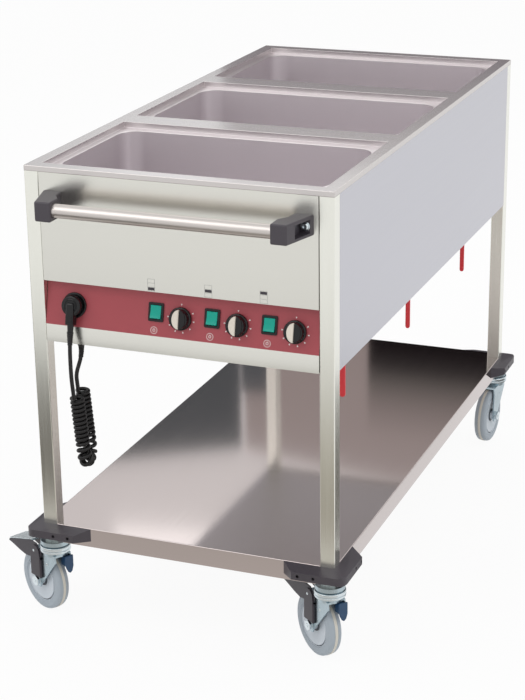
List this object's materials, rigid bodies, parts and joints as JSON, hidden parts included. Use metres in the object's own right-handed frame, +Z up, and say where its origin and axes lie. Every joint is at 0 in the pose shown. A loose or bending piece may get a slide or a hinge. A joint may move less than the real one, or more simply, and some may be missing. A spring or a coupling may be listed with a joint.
{
  "type": "heated serving trolley",
  "caption": "Wheeled stainless hot-food trolley with deep gastronorm wells, control strip, push handle, lower shelf, corner bumpers, drain levers and swivel casters.",
  "frame": {"origin": "middle of the footprint of the trolley without its cord and plug, on the floor", "axes": "+Z up, -Y towards the push handle and the controls, +X towards the side with the drain levers"},
  "size_m": [0.723, 1.29, 0.892],
  "materials": {
    "steel": "brushed stainless sheet",
    "tube_steel": "satin stainless tube",
    "zinc": "zinc-plated pressed steel",
    "bolt": "bright fasteners",
    "grey_plastic": "dark grey moulded plastic",
    "red_print": "red printed strip",
    "black_plastic": "black moulded plastic",
    "green_rocker": "green lens",
    "red_plastic": "red dipped handle",
    "blue_plastic": "blue moulded plastic",
    "hub_plastic": "light grey polypropylene",
    "tyre": "light grey non-marking rubber",
    "cord": "black rubber sheath",
    "brass": "nickel-plated brass",
    "ceramic": "pale insulating body",
    "pad": "heating plate"
  },
  "bodies": {
    "trolley": {"top": "steel", "well_front": "steel", "well_middle": "steel", "well_rear": "steel", "heating_plates": "pad", "leg_fl": "tube_steel", "leg_fr": "tube_steel", "leg_rl": "tube_steel", "leg_rr": "tube_steel", "front_panel": "steel", "control_fascia": "red_print", "rear_panel": "steel", "side_panel_left": "steel", "side_panel_right": "steel", "base_plate": "steel", "lower_shelf": "steel", "corner_bumpers": "grey_plastic", "handle_tube": "tube_steel", "handle_bracket_left": "grey_plastic", "handle_bracket_right": "grey_plastic", "handle_screws": "bolt", "switch_housings": "black_plastic", "thermostats": "ceramic", "parking_socket": "black_plastic", "mains_plug": "black_plastic", "cable_gland": "black_plastic", "terminal_block": "ceramic", "cord_plug_lead": "cord", "cord_curl": "cord", "cord_gland_lead": "cord", "drain_pipes": "tube_steel", "drain_valves": "brass", "caster_stems": "zinc"},
    "caster_fl": {"fork_fl": "zinc", "brake_block_fl": "blue_plastic", "brake_arm_fl": "grey_plastic"},
    "wheel_fl": {"hub_fl": "hub_plastic", "tyre_fl": "tyre"},
    "pedal_fl": {"brake_pedal_fl": "zinc"},
    "caster_fr": {"fork_fr": "zinc", "brake_block_fr": "blue_plastic", "brake_arm_fr": "grey_plastic"},
    "wheel_fr": {"hub_fr": "hub_plastic", "tyre_fr": "tyre"},
    "pedal_fr": {"brake_pedal_fr": "zinc"},
    "caster_rl": {"fork_rl": "zinc"},
    "wheel_rl": {"hub_rl": "hub_plastic", "tyre_rl": "tyre"},
    "caster_rr": {"fork_rr": "zinc"},
    "wheel_rr": {"hub_rr": "hub_plastic", "tyre_rr": "tyre"},
    "rocker_1": {"rocker_1": "green_rocker"},
    "knob_1": {"knob_1": "black_plastic"},
    "drain_lever_1": {"drain_lever_1": "red_plastic"},
    "rocker_2": {"rocker_2": "green_rocker"},
    "knob_2": {"knob_2": "black_plastic"},
    "drain_lever_2": {"drain_lever_2": "red_plastic"},
    "rocker_3": {"rocker_3": "green_rocker"},
    "knob_3": {"knob_3": "black_plastic"},
    "drain_lever_3": {"drain_lever_3": "red_plastic"}
  },
  "joints": [
    {"name": "swivel_fl", "type": "hinge", "parent": "trolley", "child": "caster_fl", "pos_m": [-0.23548, -0.556, 0.14], "axis": [0, 0, 1], "continuous": true},
    {"name": "roll_fl", "type": "hinge", "parent": "caster_fl", "child": "wheel_fl", "pos_m": [-0.26919, -0.53845, 0.0625], "axis": [-0.4617, -0.887, 0], "continuous": true},
    {"name": "brake_fl", "type": "hinge", "parent": "caster_fl", "child": "pedal_fl", "pos_m": [-0.27007, -0.53799, 0.127], "axis": [-0.4617, -0.887, 0], "range_deg": [0, 12]},
    {"name": "swivel_fr", "type": "hinge", "parent": "trolley", "child": "caster_fr", "pos_m": [0.32052, -0.556, 0.14], "axis": [0, 0, 1], "continuous": true},
    {"name": "roll_fr", "type": "hinge", "parent": "caster_fr", "child": "wheel_fr", "pos_m": [0.29099, -0.53209, 0.0625], "axis": [-0.6293, -0.7771, 0], "continuous": true},
    {"name": "brake_fr", "type": "hinge", "parent": "caster_fr", "child": "pedal_fr", "pos_m": [0.29021, -0.53146, 0.127], "axis": [-0.6293, -0.7771, 0], "range_deg": [0, 12]},
    {"name": "swivel_rl", "type": "hinge", "parent": "trolley", "child": "caster_rl", "pos_m": [-0.23548, 0.604, 0.14], "axis": [0, 0, 1], "continuous": true},
    {"name": "roll_rl", "type": "hinge", "parent": "caster_rl", "child": "wheel_rl", "pos_m": [-0.22888, 0.56658, 0.0625], "axis": [0.9848, 0.1736, 0], "continuous": true},
    {"name": "swivel_rr", "type": "hinge", "parent": "trolley", "child": "caster_rr", "pos_m": [0.32052, 0.604, 0.14], "axis": [0, 0, 1], "continuous": true},
    {"name": "roll_rr", "type": "hinge", "parent": "caster_rr", "child": "wheel_rr", "pos_m": [0.31787, 0.56609, 0.0625], "axis": [0.9976, -0.0698, 0], "continuous": true},
    {"name": "switch_1", "type": "hinge", "parent": "trolley", "child": "rocker_1", "pos_m": [-0.00348, -0.56116, 0.64111], "axis": [1, 0, 0], "range_deg": [0, 16]},
    {"name": "thermostat_1", "type": "hinge", "parent": "trolley", "child": "knob_1", "pos_m": [0.04452, -0.56216, 0.63416], "axis": [0, 0.9773, -0.2119], "range_deg": [0, 270]},
    {"name": "drain_valve_1", "type": "hinge", "parent": "trolley", "child": "drain_lever_1", "pos_m": [0.30452, -0.44, 0.556], "axis": [0, -1, 0], "range_deg": [0, 90]},
    {"name": "switch_2", "type": "hinge", "parent": "trolley", "child": "rocker_2", "pos_m": [0.10452, -0.56116, 0.64111], "axis": [1, 0, 0], "range_deg": [0, 16]},
    {"name": "thermostat_2", "type": "hinge", "parent": "trolley", "child": "knob_2", "pos_m": [0.15252, -0.56216, 0.63416], "axis": [0, 0.9773, -0.2119], "range_deg": [0, 270]},
    {"name": "drain_valve_2", "type": "hinge", "parent": "trolley", "child": "drain_lever_2", "pos_m": [0.30452, -0.042, 0.556], "axis": [0, -1, 0], "range_deg": [0, 90]},
    {"name": "switch_3", "type": "hinge", "parent": "trolley", "child": "rocker_3", "pos_m": [0.21252, -0.56116, 0.64111], "axis": [1, 0, 0], "range_deg": [0, 16]},
    {"name": "thermostat_3", "type": "hinge", "parent": "trolley", "child": "knob_3", "pos_m": [0.26052, -0.56216, 0.63416], "axis": [0, 0.9773, -0.2119], "range_deg": [0, 270]},
    {"name": "drain_valve_3", "type": "hinge", "parent": "trolley", "child": "drain_lever_3", "pos_m": [0.30452, 0.356, 0.556], "axis": [0, -1, 0], "range_deg": [0, 90]}
  ]
}
